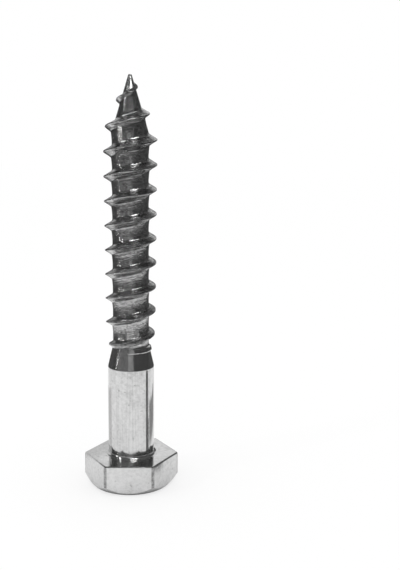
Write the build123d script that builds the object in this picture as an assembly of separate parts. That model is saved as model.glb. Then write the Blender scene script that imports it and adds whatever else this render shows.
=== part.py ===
"""Coach screw: hexagon head, plain shank and a coarse wood thread that runs out to a gimlet point.

Millimetres. The screw stands on its head: the origin is the centre of the head's flat top face,
+Z runs up the axis to the point, and two corners of the hexagon lie on the X axis.
"""
import os
from math import cos, pi, radians, sin, tan

from build123d import *

# Head
across_flats = 15.6
head_height = 5.8
crown_dia = 14.6  # flat circle that the chamfer leaves on the head's top
crown_angle = 45.0  # slope of that chamfer from the flat
corner_radius = 0.2  # upright edges of the hexagon
ring_dia = 6.3  # witness ring of the heading punch, in the middle of the top
ring_width = 0.5
ring_depth = 0.12

# Shank
shank_dia = 8.7
shank_length = 17.0  # plain part, from the bearing face to the shoulder
shank_flare = 0.4  # where the shank meets the head
shoulder_length = 4.4  # taper from the shank down to the core

# Core and point
length = 71.0  # from the bearing face to the tip
core_dia = 6.7
point_length = 10.2  # taper from the core down to the tip
tip_dia = 0.6  # blunt end of the point

# Thread
pitch = 4.5
point_pitch = 4.8  # lead over the point
thread_dia = 9.9  # over the crests at the point end
thread_dia_shank = 9.2  # over the crests at the shank end, where the rolled thread fills less
flank_angle = 60.0
crest_width = 0.2
flare_width = 0.1  # the flanks flare by this much into the core
flare_share = 0.3  # and start to do so at this share of the ridge's height
lead_in = 0.9  # the crest line begins this far below the shoulder's end
start_angle = -176.5  # azimuth at which the ridge begins
level_turns = 0.48  # the ridge begins level, along the end of the rolling die
ease_turns = 0.8  # its lead then grows from nothing to the pitch
rise_turns = 1.7  # its crest grows out of the shoulder over these turns
point_gap = 0.4  # the ridge stops this far short of the tip
point_fade = 0.6  # power by which it fades there: under 1, it stays tall for longer

# How the ridge is seated in the core, so that the two fuse cleanly
end_depth = 0.1  # crest of the ridge below the core's surface at its two ends
root_depth = 0.15  # foot of the ridge, further below that surface
steps_per_turn = 56

bearing_z = head_height
shank_end_z = bearing_z + shank_length
core_start_z = shank_end_z + shoulder_length
tip_z = bearing_z + length
point_start_z = tip_z - point_length
ridge_start_z = core_start_z - lead_in
ridge_end_z = tip_z - point_gap


def head():
    """Hexagon with softened edges, its top corners turned off by the crown's cone."""
    hexagon = RegularPolygon(across_flats / 2, 6, major_radius=False)
    prism = extrude(hexagon, head_height)
    prism = fillet(prism.edges() | Axis.Z, corner_radius)

    crown_r = crown_dia / 2
    rise = (across_flats - crown_r) * tan(radians(crown_angle))
    outline = Polyline(
        (0, 0),
        (crown_r, 0),
        (across_flats, rise),
        (across_flats, head_height + rise),
        (0, head_height + rise),
        close=True,
    )
    crown = revolve(Plane.XZ * make_face(outline), Axis.Z)
    return prism & crown


def witness_ring():
    """Shallow ring, V-shaped in section, that the punch leaves in the head's top."""
    ring_r, half_width = ring_dia / 2, ring_width / 2
    section = Polyline(
        (ring_r - half_width, 0),
        (ring_r, ring_depth),
        (ring_r + half_width, 0),
        close=True,
    )
    return revolve(Plane.XZ * make_face(section), Axis.Z)


def blank():
    """Turned form under the head: shank, shoulder, core and point."""
    shank_r, core_r, tip_r = shank_dia / 2, core_dia / 2, tip_dia / 2
    outline = Polyline(
        (0, bearing_z),
        (shank_r + shank_flare, bearing_z),
        (shank_r, bearing_z + shank_flare),
        (shank_r, shank_end_z),
        (core_r, core_start_z),
        (core_r, point_start_z),
        (tip_r, tip_z),
        (0, tip_z),
        close=True,
    )
    return revolve(Plane.XZ * make_face(outline), Axis.Z)


def between(value, low, high):
    """Share of the way from low to high, held to 0 and 1 outside them."""
    return min(max((value - low) / (high - low), 0), 1)


def surface_radius(z):
    """Radius of the blank at a height in its shoulder, core or point."""
    shoulder = (shank_dia - core_dia) / 2 * (1 - between(z, shank_end_z, core_start_z))
    point = (core_dia - tip_dia) / 2 * between(z, point_start_z, tip_z)
    return core_dia / 2 + shoulder - point


def crest_height(turn):
    """Height of the crest line after some turns from the ridge's beginning."""
    eased = turn - level_turns
    if eased < 0:
        climb = 0
    elif eased < ease_turns:
        climb = eased**2 / (2 * ease_turns)
    else:
        climb = eased - ease_turns / 2
    z = ridge_start_z + pitch * climb
    return z + max(z - point_start_z, 0) * (point_pitch / pitch - 1)


def ridge_section(turn):
    """Six points round the ridge's section: foot, flare and crest below, then the same above.

    The flanks keep their place along the run-out, where the crest is lower and so wider. In the point
    the whole section shrinks with the core.
    """
    z = crest_height(turn)
    surface_r, core_r = surface_radius(z), core_dia / 2
    slope = tan(radians(flank_angle / 2))
    fade = (1 - between(z, point_start_z, ridge_end_z)) ** point_fade
    rise = between(turn, 0, rise_turns)

    filled = between(z, core_start_z, point_start_z)
    crest_r = (thread_dia_shank + (thread_dia - thread_dia_shank) * filled) / 2
    height = (crest_r - core_r + end_depth) * fade * rise - end_depth
    foot = end_depth + root_depth * surface_r / core_r
    half_base = (crest_width / 2 + (crest_r - core_r) * slope) * fade
    flare = flare_share * (height + foot) - foot  # height at which the flare begins

    upper_half = [
        (half_base - height * slope, height),
        (half_base - flare * slope, flare),
        (half_base + foot * slope + flare_width * fade, -foot),
    ]
    lower_half = [(-dz, r) for dz, r in reversed(upper_half)]
    angle = radians(start_angle) + 2 * pi * turn
    return [
        ((surface_r + r) * cos(angle), (surface_r + r) * sin(angle), z + dz)
        for dz, r in lower_half + upper_half
    ]


def ridge_piece(start, end):
    """Closed piece of the ridge between two turns: ruled strips all round and a flat cap at each end."""
    steps = round((end - start) * steps_per_turn)
    marks = [start + (end - start) * i / steps for i in range(steps + 1)]
    corners = zip(*[ridge_section(turn) for turn in marks])
    curves = [Edge.make_spline(list(points), parameters=marks) for points in corners]
    pairs = zip(curves, curves[1:] + curves[:1])
    strips = [Face.make_surface_from_curves(curve, neighbour) for curve, neighbour in pairs]
    caps = [Face(Wire.make_polygon([curve @ place for curve in curves])) for place in (0, 1)]
    return Solid(Shell(strips + caps))


def thread():
    """Whole ridge, as half-turn pieces that meet cap to cap, with a longer last one."""
    point_turns = (ridge_end_z - point_start_z) / point_pitch
    body_turns = (point_start_z - ridge_start_z) / pitch + level_turns + ease_turns / 2
    turns = body_turns + point_turns
    marks = [i / 2 for i in range(int(turns * 2))] + [turns]
    return [ridge_piece(start, end) for start, end in zip(marks, marks[1:])]


coach_screw = head() - witness_ring() + blank() + thread()

os.makedirs("parts", exist_ok=True)
export_step(coach_screw, "parts/coach_screw.step")
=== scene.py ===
"""Coach screw standing on its hexagon head on a white sheet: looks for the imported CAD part.

Metres, in the CAD's own frame: the origin is the centre of the head's flat top face, +Z runs up
the axis to the point, and two corners of the hexagon lie on the X axis.
"""
from math import cos, pi, radians, sin, tan

import bpy
from mathutils import Matrix, Vector, noise


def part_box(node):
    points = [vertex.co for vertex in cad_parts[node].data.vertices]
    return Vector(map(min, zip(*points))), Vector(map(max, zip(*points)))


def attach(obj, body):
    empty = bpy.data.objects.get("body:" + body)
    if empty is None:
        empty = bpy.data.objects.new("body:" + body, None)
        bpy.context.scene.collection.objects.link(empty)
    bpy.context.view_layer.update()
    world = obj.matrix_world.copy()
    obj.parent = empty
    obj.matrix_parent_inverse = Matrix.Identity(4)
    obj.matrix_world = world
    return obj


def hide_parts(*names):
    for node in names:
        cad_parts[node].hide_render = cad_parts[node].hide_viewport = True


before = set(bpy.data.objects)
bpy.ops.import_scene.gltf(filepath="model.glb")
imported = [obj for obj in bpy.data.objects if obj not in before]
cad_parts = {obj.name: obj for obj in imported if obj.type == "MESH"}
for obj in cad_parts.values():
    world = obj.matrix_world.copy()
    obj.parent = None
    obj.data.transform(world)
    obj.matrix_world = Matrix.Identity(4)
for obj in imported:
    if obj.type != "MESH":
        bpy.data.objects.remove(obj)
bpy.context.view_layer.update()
screw_low, screw_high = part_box("coach_screw")
bpy.ops.object.select_all(action="DESELECT")

# ---------------------------------------------------------------------------------------------
# Camera. A close standard lens a hand's height above the table, about level with the foot of
# the screw's point and looking slightly down.
# ---------------------------------------------------------------------------------------------
MM = 0.001
camera_place = Vector((9.39, -154.31, 64.67)) * MM
camera_turn = 0.0230  # radians to the right of +Y
camera_dip = 0.1677
camera_roll = 0.0100
focal_length = 52.81  # millimetres
nearest_seen = 5 * MM

camera_data = bpy.data.cameras.new("camera")
camera_data.lens = focal_length
camera_data.clip_start = nearest_seen
camera = bpy.data.objects.new("camera", camera_data)
bpy.context.collection.objects.link(camera)
camera.matrix_world = (
    Matrix.Translation(camera_place)
    @ Matrix.Rotation(-camera_turn, 4, "Z")
    @ Matrix.Rotation(pi / 2 - camera_dip, 4, "X")
    @ Matrix.Rotation(camera_roll, 4, "Z")
)
bpy.context.scene.camera = camera

# ---------------------------------------------------------------------------------------------
# Head. A hexagon forged from the wire's end. The heading punch leaves its top corners turned off
# by a cone and a shallow witness ring in the middle of the top, on which the screw stands.
# ---------------------------------------------------------------------------------------------
across_flats = screw_high.y - screw_low.y
head_height = 5.8 * MM
crown_radius = 7.3 * MM  # of the flat circle inside the chamfer
crown_rounding = 0.3 * MM
crown_steps = 192  # round the axis
ring_radius = 3.15 * MM
ring_half_width = 0.25 * MM
ring_depth = 0.10 * MM
ring_rounding = ring_half_width / 3
corner_bevel = 0.25 * MM
rim_bevel = 0.38 * MM
edge_segments = 3
spare = 1.0 * MM  # how far a piece runs into its neighbour before they are joined
same_place = 1e-6  # metres within which two places count as one
weld_distance = 1e-7


def pick(piece, kind, wanted):
    """Goes into edit mode with only those of the piece's vertices or edges selected that are
    wanted."""
    bpy.ops.object.mode_set(mode="EDIT")
    modes = {"vertices": "VERT", "edges": "EDGE"}
    bpy.ops.mesh.select_mode(type=modes[kind])
    bpy.ops.mesh.select_all(action="DESELECT")
    bpy.ops.object.mode_set(mode="OBJECT")
    for element in getattr(piece.data, kind):
        element.select = wanted(element)
    bpy.ops.object.mode_set(mode="EDIT")


def end_heights(piece, edge):
    """The heights of an edge's two points, the lower one first."""
    return sorted(piece.data.vertices[i].co.z for i in edge.vertices)


def turned(name, outline, roundings, steps):
    """A solid turned about Z from its outline, (radius, height) points that start and end on the
    axis. Each rounding is (which point, how far it reaches along the outline, its segments)."""
    bpy.ops.mesh.primitive_plane_add(size=1 * MM)
    piece = bpy.context.object
    piece.name = name
    bpy.ops.object.mode_set(mode="EDIT")
    bpy.ops.mesh.select_mode(type="VERT")
    bpy.ops.mesh.merge(type="CENTER")
    last = Vector((outline[0][0], 0, outline[0][1]))
    bpy.ops.transform.translate(value=last)
    for radius, height in outline[1:]:
        point = Vector((radius, 0, height))
        bpy.ops.mesh.extrude_vertices_move(TRANSFORM_OT_translate={"value": point - last})
        last = point
    for index, reach, segments in roundings:
        point = Vector((outline[index][0], 0, outline[index][1]))
        pick(piece, "vertices", lambda v: (v.co - point).length < same_place)
        bpy.ops.mesh.bevel(offset=reach, segments=segments, affect="VERTICES")
    bpy.ops.mesh.select_all(action="SELECT")
    bpy.ops.mesh.spin(steps=steps, angle=2 * pi, center=(0, 0, 0), axis=(0, 0, 1))
    bpy.ops.mesh.select_all(action="SELECT")
    bpy.ops.mesh.remove_doubles(threshold=weld_distance)
    bpy.ops.mesh.normals_make_consistent(inside=False)
    bpy.ops.object.mode_set(mode="OBJECT")
    return piece


def combine(piece, tool, operation):
    """Joins the piece and the tool into one closed skin, or keeps what they share."""
    bpy.ops.object.select_all(action="DESELECT")
    piece.select_set(True)
    bpy.context.view_layer.objects.active = piece
    cut = piece.modifiers.new(operation.lower(), "BOOLEAN")
    cut.object = tool
    cut.operation = operation
    cut.solver = "MANIFOLD"
    bpy.ops.object.modifier_apply(modifier=cut.name)
    bpy.data.objects.remove(tool)


bpy.ops.mesh.primitive_cylinder_add(
    vertices=6,
    radius=across_flats / 2 / cos(pi / 6),
    depth=head_height + spare,
    location=(0, 0, (head_height - spare) / 2),
    rotation=(0, 0, pi / 6),
)
screw = bpy.context.object
screw.name = "coach_screw_body"
bpy.ops.object.transform_apply(location=True, rotation=True, scale=True)
pick(screw, "edges", lambda e: end_heights(screw, e)[0] < 0 < end_heights(screw, e)[1])
bpy.ops.mesh.bevel(offset=corner_bevel, segments=edge_segments, affect="EDGES")
pick(screw, "edges", lambda e: end_heights(screw, e)[0] > head_height - same_place)
bpy.ops.mesh.bevel(offset=rim_bevel, segments=edge_segments, affect="EDGES")
bpy.ops.object.mode_set(mode="OBJECT")

crown_reach = head_height + 2 * spare
crown = turned(
    "crown",
    [
        (0, 0),
        (ring_radius - ring_half_width, 0),
        (ring_radius, ring_depth),
        (ring_radius + ring_half_width, 0),
        (crown_radius, 0),
        (crown_radius + crown_reach, crown_reach),
        (0, crown_reach),
    ],
    [
        (4, crown_rounding, 4),
        (1, ring_rounding, 3),
        (2, ring_rounding, 3),
        (3, ring_rounding, 3),
    ],
    crown_steps,
)
combine(screw, crown, "INTERSECT")

# ---------------------------------------------------------------------------------------------
# Shank, shoulder, core and point. One round blank under the head, extruded down in the die: a
# plain shank, a short taper to the core that the thread is rolled on, and a pinched point.
# ---------------------------------------------------------------------------------------------
shank_radius = 4.35 * MM
shank_length = 17.2 * MM
shoulder_length = 4.2 * MM
fillet = 0.6 * MM
fillet_lift = 0.015 * MM  # a trace of the fillet's edge on the bearing face
core_radius = 3.35 * MM
point_length = 10.2 * MM
tip_radius = 0.3 * MM
shank_end_rounding = 0.12 * MM
core_start_rounding = 0.35 * MM
point_start_rounding = 0.5 * MM
tip_rounding = 0.15 * MM
blank_steps = 288

shank_end = head_height + shank_length
core_start = shank_end + shoulder_length
tip = screw_high.z
point_start = tip - point_length
foot_radius = shank_radius + fillet + spare / 10

blank = turned(
    "blank",
    [
        (0, head_height - spare),
        (foot_radius, head_height - spare),
        (foot_radius, head_height + fillet_lift),
        (shank_radius, head_height + fillet_lift),
        (shank_radius, shank_end),
        (core_radius, core_start),
        (core_radius, point_start),
        (tip_radius, tip),
        (0, tip),
    ],
    [
        (3, fillet, 8),
        (4, shank_end_rounding, 3),
        (5, core_start_rounding, 4),
        (6, point_start_rounding, 5),
        (7, tip_rounding, 3),
    ],
    blank_steps,
)
combine(screw, blank, "UNION")

# ---------------------------------------------------------------------------------------------
# Thread. A coarse ridge that two dies roll up out of the core. It starts level along the end of
# the dies, climbs at the pitch with a narrow crest, and fades out round the point.
# ---------------------------------------------------------------------------------------------
pitch = 4.5 * MM
point_pitch = 4.8 * MM
crest_radius = 4.95 * MM
crest_radius_shank = 4.6 * MM
crest_half_width = 0.1 * MM
crest_rounding = 0.06 * MM
crest_inset = 0.3  # share of that rounding by which the crest is narrower
crest_wander = 0.05 * MM
wander_rate = 3.7  # steps of noise per turn
flank_slope = tan(radians(30))
ridge_start = core_start - 0.7 * MM
ridge_end = tip - 0.4 * MM
start_angle = radians(-176.5)
level_turns = 0.48  # along the end of the dies
ease_turns = 0.8  # from level to the pitch
rise_from, rise_to = 0.16, 1.7  # turns over which the crest rises
rise_power = 0.75
start_width = 0.5  # the ridge begins at this share of its width
start_easing = 1.5  # its lower flank begins this much flatter
point_fade = 0.6  # power by which it fades in the point: under 1, it stays tall for longer
least_rounding = 0.2  # share of the rounding that is left where the ridge has faded
most_rounding = 0.3  # share of the ridge's height that the rounding may take
end_depth = 0.1 * MM  # crest below the core's surface at the ridge's two ends
root_depth = 0.15 * MM  # foot of the ridge, further below that surface
lower_root = 1.6 * MM  # how far the flank's foot runs out below the ridge
upper_root = 0.25 * MM  # and above it
flank_points = (  # share of the ridge's height, share of the root that the flank has left there
    (0, 1.05),
    (0.147, 1),
    (0.168, 0.66),
    (0.20, 0.33),
    (0.244, 0.06),
    (0.39, 0.03),
    (0.58, 0),
)
steps_per_turn = 120
run_out_turns = 0.5  # the level stretch, which is joined on by itself
smooth_below = radians(28)  # edges that turn by less are shaded smooth
turns = (
    level_turns
    + ease_turns / 2
    + (point_start - ridge_start) / pitch
    + (ridge_end - point_start) / point_pitch
)


def share(value, low, high):
    """How far a value is from low to high, held to 0 and 1 outside them."""
    return min(max((value - low) / (high - low), 0), 1)


def surface_radius(height):
    """Radius of the blank's shoulder, core or point at a height."""
    shoulder = (shank_radius - core_radius) * (1 - share(height, shank_end, core_start))
    point = (core_radius - tip_radius) * share(height, point_start, tip)
    return core_radius + shoulder - point


def crest_line(turn):
    """Height of the crest after some turns from the ridge's start."""
    eased = turn - level_turns
    if eased < 0:
        climb = 0
    elif eased < ease_turns:
        climb = eased**2 / (2 * ease_turns)
    else:
        climb = eased - ease_turns / 2
    height = ridge_start + pitch * climb
    return height + max(height - point_start, 0) * (point_pitch / pitch - 1)


def ridge_section(turn):
    """Points round the ridge's section after some turns, from its lower foot over the crest to
    its upper foot: the flanks flare into the root, more so below, and the crest is rounded."""
    height = crest_line(turn)
    fade = (1 - share(height, point_start, ridge_end)) ** point_fade
    rise = share(turn, rise_from, rise_to) ** rise_power
    filled = share(height, core_start, point_start)
    full = crest_radius_shank + (crest_radius - crest_radius_shank) * filled - core_radius
    full += crest_wander * noise.noise(Vector((wander_rate * turn, 0, 0))) * rise
    top = (full + end_depth) * fade * rise - end_depth
    foot = end_depth + root_depth * surface_radius(height) / core_radius
    width = start_width + (1 - start_width) * rise**1.5
    half_crest = (crest_half_width + full * flank_slope) * fade * width - top * flank_slope
    rounding = crest_rounding * (least_rounding + (1 - least_rounding) * fade)
    rounding = min(rounding, most_rounding * (top + foot))

    sides = []
    for easing, root_length in ((start_easing, lower_root), (0, upper_root)):
        slope = flank_slope * (1 + easing * (1 - rise) ** 3)
        growth = fade * min(2 * rise, 1)
        side = []
        for share_up, spread in flank_points:
            up = share_up * (top + foot) - foot
            side.append((half_crest + (top - up) * slope + spread * root_length * growth, up))
        side.append((half_crest + rounding * slope, top - rounding))
        side.append((half_crest - crest_inset * rounding, top))
        sides.append(side)
    lower, upper = sides
    angle = start_angle + 2 * pi * turn
    section = []
    for dz, up in [(-dz, up) for dz, up in lower] + upper[::-1]:
        radius = surface_radius(height + dz) + up
        section.append(Vector((radius * cos(angle), radius * sin(angle), height + dz)))
    return section


def ridge_stretch(name, start, end):
    """A closed stretch of the ridge between two turns."""
    corners = len(ridge_section(start))
    bpy.ops.mesh.primitive_circle_add(vertices=corners, radius=1 * MM, fill_type="NOTHING")
    stretch = bpy.context.object
    stretch.name = name
    coil = stretch.modifiers.new("coil", "SCREW")
    coil.angle = 2 * pi * (end - start)
    coil.screw_offset = pitch * (end - start)
    coil.steps = coil.render_steps = round((end - start) * steps_per_turn)
    coil.use_merge_vertices = False
    bpy.ops.object.modifier_apply(modifier=coil.name)
    rings = len(stretch.data.vertices) // corners
    for i in range(rings):
        section = ridge_section(start + (end - start) * i / (rings - 1))
        for j, place in enumerate(section):
            stretch.data.vertices[i * corners + j].co = place
    bpy.ops.object.mode_set(mode="EDIT")
    bpy.ops.mesh.select_all(action="SELECT")
    bpy.ops.mesh.fill_holes(sides=0)
    bpy.ops.mesh.select_all(action="SELECT")
    bpy.ops.mesh.normals_make_consistent(inside=False)
    bpy.ops.object.mode_set(mode="OBJECT")
    return stretch


combine(screw, ridge_stretch("ridge", run_out_turns, turns), "UNION")
combine(screw, ridge_stretch("run_out", 0, run_out_turns), "UNION")
bpy.ops.object.shade_smooth_by_angle(angle=smooth_below)
flat_faces = screw.modifiers.new("flat_faces", "WEIGHTED_NORMAL")
flat_faces.keep_sharp = True
bpy.ops.object.modifier_apply(modifier=flat_faces.name)
bpy.ops.object.select_all(action="DESELECT")

# ---------------------------------------------------------------------------------------------
# Finish. Bright zinc plate over steel, glossy, with fine drawing lines and small pits, and an
# uneven, duller skin on the rolled thread, where nothing rubs it. Painted shade darkens the
# thread, most in its roots, and the chamfer on which the screw stands; a painted dark reflection
# darkens the hexagon's corners.
# ---------------------------------------------------------------------------------------------
zinc_roughness = 0.09
zinc_tone = 0.74
relief_strength = 0.8
relief_height = 0.05 * MM
# Where each part of the finish begins and where it is whole, in millimetres: a height above the
# table, or a radius from the axis
thread_heights = (26.0, 28.0)
flank_radii = (3.35, 3.75)
crest_radii = (4.45, 4.85)
bearing_heights = (5.7, 5.9)
corner_radii = (8.76, 8.90)
chamfer_heights = (0.15, 0.75)
chamfer_radii = (7.1, 7.4)
shank_radii = (4.5, 5.2)

zinc = bpy.data.materials.new("bright_zinc")
zinc.use_nodes = True
zinc_shader = zinc.node_tree.nodes["Principled BSDF"]
zinc_shader.inputs["Metallic"].default_value = 1


def add(tree, kind, **settings):
    """A new node with its settings made."""
    node = tree.nodes.new(kind)
    for setting, value in settings.items():
        setattr(node, setting, value)
    return node


def feed(tree, target, source):
    """Gives an input its source: an output, or a number."""
    if isinstance(source, (int, float)):
        target.default_value = source
    else:
        tree.links.new(source, target)


def noise_in(tree, coordinates, stretch, detail, roughness):
    """Noise between 0 and 1 whose coordinates are in millimetres times the stretch."""
    mapping = add(tree, "ShaderNodeMapping")
    mapping.inputs["Scale"].default_value = stretch
    feed(tree, mapping.inputs["Vector"], coordinates)
    texture = add(tree, "ShaderNodeTexNoise")
    texture.inputs["Scale"].default_value = 1
    texture.inputs["Detail"].default_value = detail
    texture.inputs["Roughness"].default_value = roughness
    feed(tree, texture.inputs["Vector"], mapping.outputs["Vector"])
    return texture.outputs["Fac"]


def ramp(tree, value, low, high, to_low=0, to_high=1):
    """A value taken smoothly from one range to another and held there."""
    node = add(tree, "ShaderNodeMapRange", interpolation_type="SMOOTHSTEP")
    node.inputs["From Min"].default_value = low
    node.inputs["From Max"].default_value = high
    node.inputs["To Min"].default_value = to_low
    node.inputs["To Max"].default_value = to_high
    feed(tree, node.inputs["Value"], value)
    return node.outputs["Result"]


def calculate(tree, operation, *values):
    """A Math node on one or two values, each an output or a number."""
    node = add(tree, "ShaderNodeMath", operation=operation)
    for socket, value in zip(node.inputs, values):
        feed(tree, socket, value)
    return node.outputs["Value"]


def layered(tree, base, *layers):
    """A base with layers added to it, each (mask, how much it adds where the mask is 1)."""
    for mask, strength in layers:
        base = calculate(tree, "ADD", base, calculate(tree, "MULTIPLY", mask, strength))
    return base


tree = zinc.node_tree
coordinates = add(tree, "ShaderNodeTexCoord")
to_millimetres = add(tree, "ShaderNodeVectorMath", operation="SCALE")
to_millimetres.inputs["Scale"].default_value = 1 / MM
feed(tree, to_millimetres.inputs[0], coordinates.outputs["Object"])
millimetres = to_millimetres.outputs["Vector"]
split = add(tree, "ShaderNodeSeparateXYZ")
feed(tree, split.inputs["Vector"], millimetres)
squares = [calculate(tree, "POWER", split.outputs[axis], 2) for axis in "XY"]
radius = calculate(tree, "SQRT", calculate(tree, "ADD", *squares))
height = split.outputs["Z"]

threaded = ramp(tree, height, *thread_heights)
flank = calculate(tree, "MULTIPLY", ramp(tree, radius, *flank_radii), threaded)
crest = calculate(tree, "MULTIPLY", ramp(tree, radius, *crest_radii), threaded)
below_head = ramp(tree, height, *bearing_heights, 1, 0)
corner = calculate(tree, "MULTIPLY", ramp(tree, radius, *corner_radii), below_head)
near_table = ramp(tree, height, *chamfer_heights, 1, 0)
# Painted shadow: the crown's chamfer is darkened where the head stands on the table.
painted_contact_shadow = calculate(tree, "MULTIPLY", near_table, ramp(tree, radius, *chamfer_radii))

# A direction that turns once per pitch, so that what is drawn along it follows the thread
past_point = calculate(tree, "SUBTRACT", height, point_start / MM)
past_point = calculate(tree, "MAXIMUM", past_point, 0)
lead_height = layered(tree, height, (past_point, pitch / point_pitch - 1))
thread_angle = calculate(tree, "MULTIPLY", lead_height, 2 * pi / (pitch / MM))
azimuth = calculate(tree, "ARCTAN2", split.outputs["Y"], split.outputs["X"])
coil_angle = calculate(tree, "SUBTRACT", thread_angle, azimuth)
along_coil = add(tree, "ShaderNodeCombineXYZ")
feed(tree, along_coil.inputs["X"], calculate(tree, "COSINE", coil_angle))
feed(tree, along_coil.inputs["Y"], calculate(tree, "SINE", coil_angle))
feed(tree, along_coil.inputs["Z"], height)

mottle = noise_in(tree, millimetres, (1.5, 1.5, 1.8), detail=4, roughness=0.65)
smudge = noise_in(tree, millimetres, (0.25, 0.25, 0.2), detail=3, roughness=0.55)
rolled = noise_in(tree, along_coil.outputs["Vector"], (2.5, 2.5, 0.9), detail=2, roughness=0.6)
drawn = noise_in(tree, millimetres, (3.2, 3.2, 0.10), detail=3, roughness=0.6)
drawn = calculate(tree, "MULTIPLY", drawn, ramp(tree, radius, *shank_radii, 1, 0.5))
grain = noise_in(tree, millimetres, (4.5, 4.5, 4.5), detail=3, roughness=0.7)
pitted = noise_in(tree, millimetres, (1.25, 1.25, 1.5), detail=2, roughness=0.5)
pits = ramp(tree, pitted, 0.66, 0.78)
# Streaks along the coil that darken the thread's roots: rolling marks, and painted shade there.
rolled_marks_and_root_shade = calculate(tree, "MULTIPLY", ramp(tree, rolled, 0.46, 0.58), flank)
# The hexagon's corners darkened in patches: a painted dark reflection.
corner_painted_reflection = calculate(tree, "MULTIPLY", ramp(tree, mottle, 0.3, 0.6, 0.6, 1), corner)
blotches = calculate(tree, "MULTIPLY", ramp(tree, mottle, 0.42, 0.60), threaded)

roughness = layered(
    tree,
    zinc_roughness,
    (ramp(tree, smudge, 0.35, 0.75), 0.08),
    (threaded, 0.04),
    (flank, 0.03),
    (ramp(tree, mottle, 0.4, 0.7), 0.06),
    (pits, 0.15),
)
feed(tree, zinc_shader.inputs["Roughness"], roughness)

# Mottle, drawing lines, pits, blotches and smudges are the plate's own tone; the layers marked
# painted below stand in for shade and reflections.
tone = layered(
    tree,
    zinc_tone,
    (ramp(tree, mottle, 0.35, 0.70), -0.10),
    # painted shade: the whole thread darker than the shank and head
    (threaded, -0.07),
    # painted shade in the thread's roots, streaked along the coil
    (rolled_marks_and_root_shade, -0.26),
    (ramp(tree, drawn, 0.40, 0.70), -0.09),
    (pits, -0.16),
    # painted dark reflection along the hexagon's corners
    (corner_painted_reflection, -0.40),
    (crest, 0.06),
    # painted shadow on the chamfer the screw stands on
    (painted_contact_shadow, -0.46),
    (blotches, -0.14),
    (ramp(tree, smudge, 0.35, 0.65), -0.05),
)
colour = add(tree, "ShaderNodeCombineColor")
for channel in ("Red", "Green", "Blue"):
    feed(tree, colour.inputs[channel], tone)
feed(tree, zinc_shader.inputs["Base Color"], colour.outputs["Color"])

relief = layered(
    tree,
    0,
    (calculate(tree, "MULTIPLY", rolled, flank), 3.0),
    (calculate(tree, "MULTIPLY", rolled, threaded), 0.5),
    (calculate(tree, "MULTIPLY", mottle, threaded), 1.6),
    (calculate(tree, "MULTIPLY", grain, threaded), 0.6),
    (drawn, 0.12),
    (smudge, 0.5),
    (pits, -0.25),
)
bump = add(tree, "ShaderNodeBump")
bump.inputs["Strength"].default_value = relief_strength
bump.inputs["Distance"].default_value = relief_height
feed(tree, bump.inputs["Height"], relief)
feed(tree, zinc_shader.inputs["Normal"], bump.outputs["Normal"])

screw.data.materials.clear()
screw.data.materials.append(zinc)
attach(screw, "root")
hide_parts("coach_screw")

# ---------------------------------------------------------------------------------------------
# Studio. A white sheet on a dark table with a white wall behind, in a dim room. Cards that only
# reflections see give the plate its dark edges, two of them bright and high up like windows, and
# three small soft lamps on the left give it its highlights.
# ---------------------------------------------------------------------------------------------
table_size = 4  # metres
table_tone = 0.08
sheet_tone = 0.95
sheet_edges = (0.085, 0.115)  # metres from the screw over which the table takes over
sheet_glow = 1.02
glow_share = 0.7  # how much of the sheet's white is glow to the camera: the rest keeps the shadow
wall_edges = (0.72, 0.88)  # where the wall begins and is whole, by how far a direction points back
wall_tone = 0.85
table_edges = (0.14, 0.30)  # where the wall clears the table, by how far a direction points up
ceiling_edges = (0.30, 0.95)
room_tone = 0.06
ceiling_tone = 0.12
card_foot = 3 * MM  # the cards are pale up to here, with the sheet's light
card_foot_glow = 0.8


def not_reflected(tree, rays):
    """1 for every ray but those that a glossy surface sends out."""
    return calculate(tree, "SUBTRACT", 1, rays.outputs["Is Glossy Ray"])


bpy.ops.mesh.primitive_plane_add(size=table_size)
floor = bpy.context.object
floor.name = "floor"
paper = bpy.data.materials.new("white_paper")
paper.use_nodes = True
tree = paper.node_tree
tree.nodes.remove(tree.nodes["Principled BSDF"])
coordinates = add(tree, "ShaderNodeTexCoord")
reach = add(tree, "ShaderNodeVectorMath", operation="LENGTH")
feed(tree, reach.inputs[0], coordinates.outputs["Object"])
sheet = ramp(tree, reach.outputs["Value"], *sheet_edges, 1, 0)
rays = add(tree, "ShaderNodeLightPath")
white = calculate(tree, "MAXIMUM", sheet, not_reflected(tree, rays))
matt = add(tree, "ShaderNodeBsdfDiffuse")
feed(tree, matt.inputs["Color"], layered(tree, table_tone, (white, sheet_tone - table_tone)))
glow = add(tree, "ShaderNodeEmission")
glow.inputs["Strength"].default_value = sheet_glow
seen_white = calculate(tree, "MULTIPLY", rays.outputs["Is Camera Ray"], glow_share)
mix = add(tree, "ShaderNodeMixShader")
feed(tree, mix.inputs["Fac"], seen_white)
feed(tree, mix.inputs[1], matt.outputs["BSDF"])
feed(tree, mix.inputs[2], glow.outputs["Emission"])
feed(tree, tree.nodes["Material Output"].inputs["Surface"], mix.outputs["Shader"])
floor.data.materials.append(paper)

world = bpy.data.worlds.new("studio")
bpy.context.scene.world = world
world.use_nodes = True
tree = world.node_tree
background = tree.nodes["Background"]
background.inputs["Color"].default_value = (1, 1, 1, 1)
coordinates = add(tree, "ShaderNodeTexCoord")
split = add(tree, "ShaderNodeSeparateXYZ")
feed(tree, split.inputs["Vector"], coordinates.outputs["Generated"])
behind = ramp(tree, split.outputs["Y"], *wall_edges, 0, wall_tone)
above_table = ramp(tree, split.outputs["Z"], *table_edges)
wall = calculate(tree, "MULTIPLY", behind, above_table)
ceiling = ramp(tree, split.outputs["Z"], *ceiling_edges, room_tone, ceiling_tone)
room = calculate(tree, "MAXIMUM", wall, ceiling)
rays = add(tree, "ShaderNodeLightPath")
strength = calculate(tree, "MAXIMUM", room, not_reflected(tree, rays))
feed(tree, background.inputs["Strength"], strength)

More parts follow.
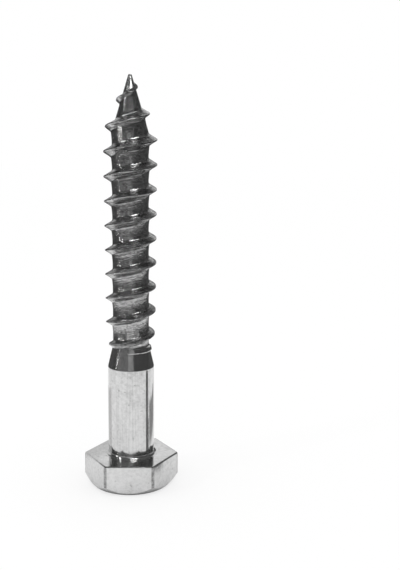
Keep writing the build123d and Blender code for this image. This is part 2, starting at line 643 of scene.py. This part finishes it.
# Each card's name, the places of its two ends on the table, its heights there, and its glow
for name, start, end, heights, card_glow in (
    ("dark_strip", (13.0, -4.44), (13.0, -1.7), (0, 20), 0.10),
    ("low_card", (16.2, -1.2), (16.2, 0.4), (0, 9), 0.28),
    ("side_card", (20.8, 2.6), (20.8, 30.0), (1, 11), 0.32),
    ("far_card", (-20, 5), (-6, 21), (0, 14), 0.68),
    ("front_card", (67, -250), (-55, -247), (0, 130), 0.30),
    ("left_card", (-55, -247), (-240, -100), (0, 130), 0.16),
    ("front_light", (-24, -317), (216, -229), (450, 550), 13.0),
    ("left_light", (-256, 10), (-256, -54), (385, 450), 14.0),
):
    bpy.ops.object.select_all(action="DESELECT")
    bpy.ops.mesh.primitive_plane_add(size=1)
    card = bpy.context.object
    card.name = name
    low = Vector((start[0], start[1], heights[0])) * MM
    along = Vector((end[0] - start[0], end[1] - start[1], 0)) * MM
    up = Vector((0, 0, heights[1] - heights[0])) * MM
    for vertex in card.data.vertices:
        vertex.co = low + along * (vertex.co.x + 0.5) + up * (vertex.co.y + 0.5)
    board = bpy.data.materials.new(name)
    board.use_nodes = True
    tree = board.node_tree
    tree.nodes.remove(tree.nodes["Principled BSDF"])
    surface = add(tree, "ShaderNodeEmission")
    coordinates = add(tree, "ShaderNodeTexCoord")
    split = add(tree, "ShaderNodeSeparateXYZ")
    feed(tree, split.inputs["Vector"], coordinates.outputs["Object"])
    glow = ramp(tree, split.outputs["Z"], 0, card_foot, card_foot_glow, card_glow)
    feed(tree, surface.inputs["Strength"], glow)
    feed(tree, tree.nodes["Material Output"].inputs["Surface"], surface.outputs["Emission"])
    card.data.materials.append(board)
    card.visible_camera = False
    card.visible_diffuse = False
    card.visible_shadow = False

# Each lamp's name, size in millimetres, energy, and place in millimetres
for name, size, energy, place in (
    ("window", 12, 0.030, (-168, -109, 125)),
    ("low_window", 6, 0.005, (-188, -68, 64)),
    ("sill", 5, 0.005, (-190, -58, 46)),
):
    lamp_data = bpy.data.lights.new(name, "AREA")
    lamp_data.size = size * MM
    lamp_data.energy = energy
    lamp = bpy.data.objects.new(name, lamp_data)
    bpy.context.collection.objects.link(lamp)
    lamp.location = Vector(place) * MM
    lamp.rotation_euler = (screw_high / 2 - lamp.location).to_track_quat("-Z", "Y").to_euler()

bpy.context.scene.view_settings.view_transform = "Standard"
